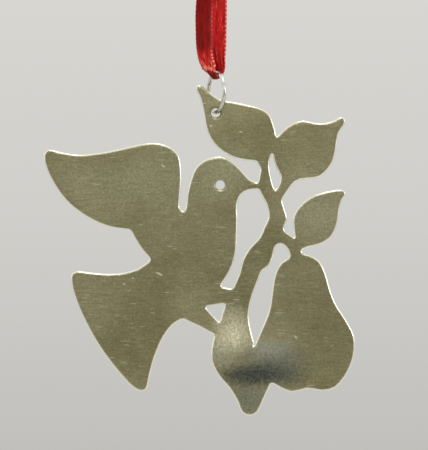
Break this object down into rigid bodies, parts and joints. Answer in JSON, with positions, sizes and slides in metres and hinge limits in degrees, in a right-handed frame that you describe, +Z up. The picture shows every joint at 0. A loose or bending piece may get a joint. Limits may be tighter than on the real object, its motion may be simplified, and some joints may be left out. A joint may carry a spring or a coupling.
{
  "type": "christmas ornament",
  "caption": "Flat cut-sheet ornament of a bird on a pear branch, hung by a wire jump ring from a knotted satin ribbon loop.",
  "frame": {"origin": "where a hook or twig carries the ribbon loop, just under its knot", "axes": "+Z up along the hanging ribbon, front face of the sheet towards -Y, +X to the right as seen from the front"},
  "size_m": [0.0663, 0.0086, 0.1122],
  "materials": {
    "satin_sheet": "tumbled satin",
    "bright_wire": "bright drawn",
    "red_satin": "satin weave, duller on its outer face"
  },
  "bodies": {
    "ribbon": {"ribbon_loop": "red_satin", "ribbon_knot": "red_satin"},
    "ring": {"jump_ring": "bright_wire"},
    "plate": {"cut_plate": "satin_sheet"}
  },
  "joints": [
    {"name": "ring_turn", "type": "hinge", "parent": "ribbon", "child": "ring", "pos_m": [0.00013, 0, -0.02965], "axis": [0.9135, 0.4067, 0], "range_deg": [-120, 120]},
    {"name": "plate_swing", "type": "hinge", "parent": "ring", "child": "plate", "pos_m": [0, 0, -0.03398], "axis": [0, 1, 0], "range_deg": [-60, 90]}
  ]
}
